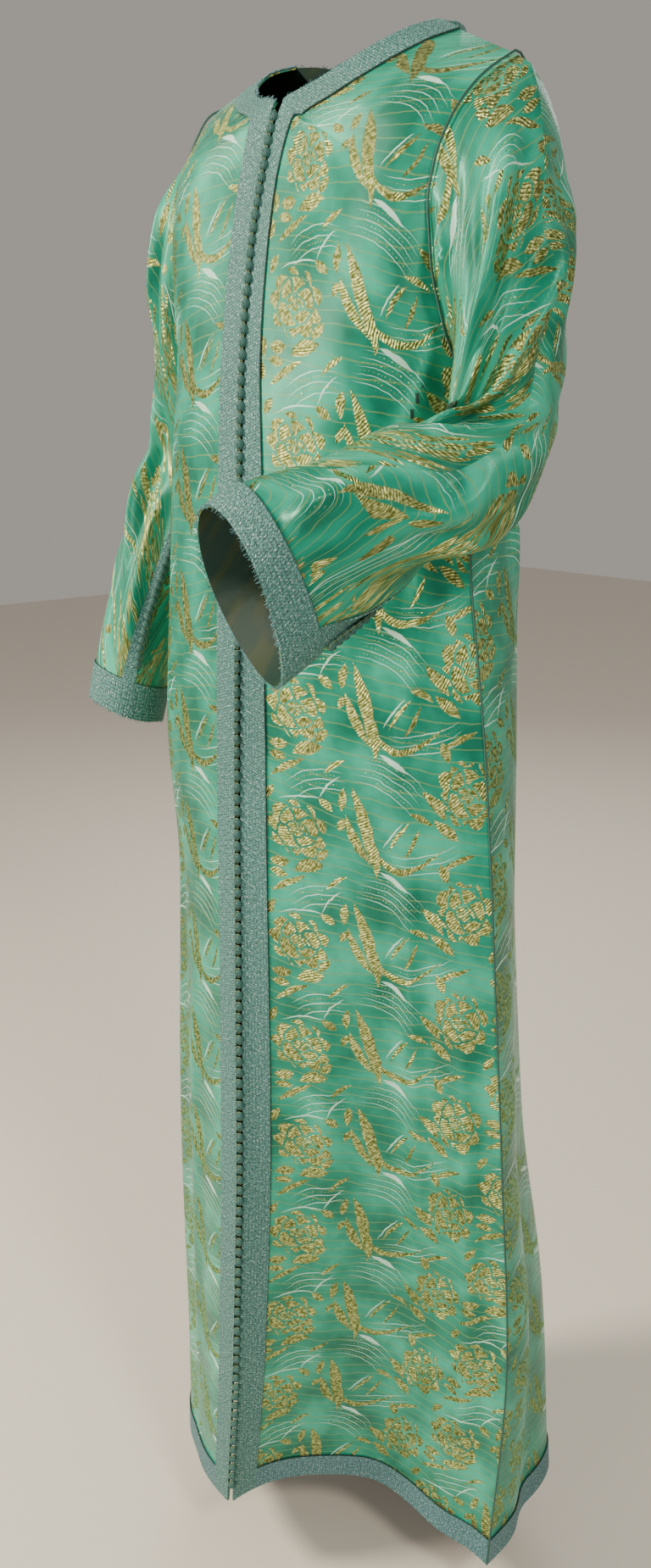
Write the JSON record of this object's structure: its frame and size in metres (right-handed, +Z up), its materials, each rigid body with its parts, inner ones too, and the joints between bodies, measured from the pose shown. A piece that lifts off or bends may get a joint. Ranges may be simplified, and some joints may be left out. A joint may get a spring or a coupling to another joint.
{
  "type": "moroccan kaftan",
  "caption": "Full-length hollow kaftan in flowered satin brocade with an open hem, long sleeves, braid along its edges and a knotted front closure.",
  "frame": {"origin": "between the shoulders, level with the shoulder seams, where the wearer carries the garment", "axes": "+Z up, the front faces -Y, the wearer's left is +X"},
  "size_m": [0.4984, 0.4167, 1.3972],
  "materials": {
    "brocade": "satin brocade, mint ground with gold and silver thread",
    "braid": "knitted braid, matte with fine metal thread",
    "piping": "fine dark cord",
    "knots": "knotted cord"
  },
  "bodies": {
    "root": {"front_left": "brocade", "front_right": "brocade", "back": "brocade", "sleeve_left": "brocade", "sleeve_right": "brocade", "neck_braid": "braid", "front_braid_left": "braid", "front_braid_right": "braid", "hem_braid": "braid", "cuff_braid_left": "braid", "cuff_braid_right": "braid", "sleeve_seam_braid_left": "braid", "sleeve_seam_braid_right": "braid", "side_piping_left": "piping", "side_piping_right": "piping", "armhole_piping_left": "piping", "armhole_piping_right": "piping", "front_knots": "knots", "sleeve_knots_left": "knots", "sleeve_knots_right": "knots"}
  },
  "joints": []
}
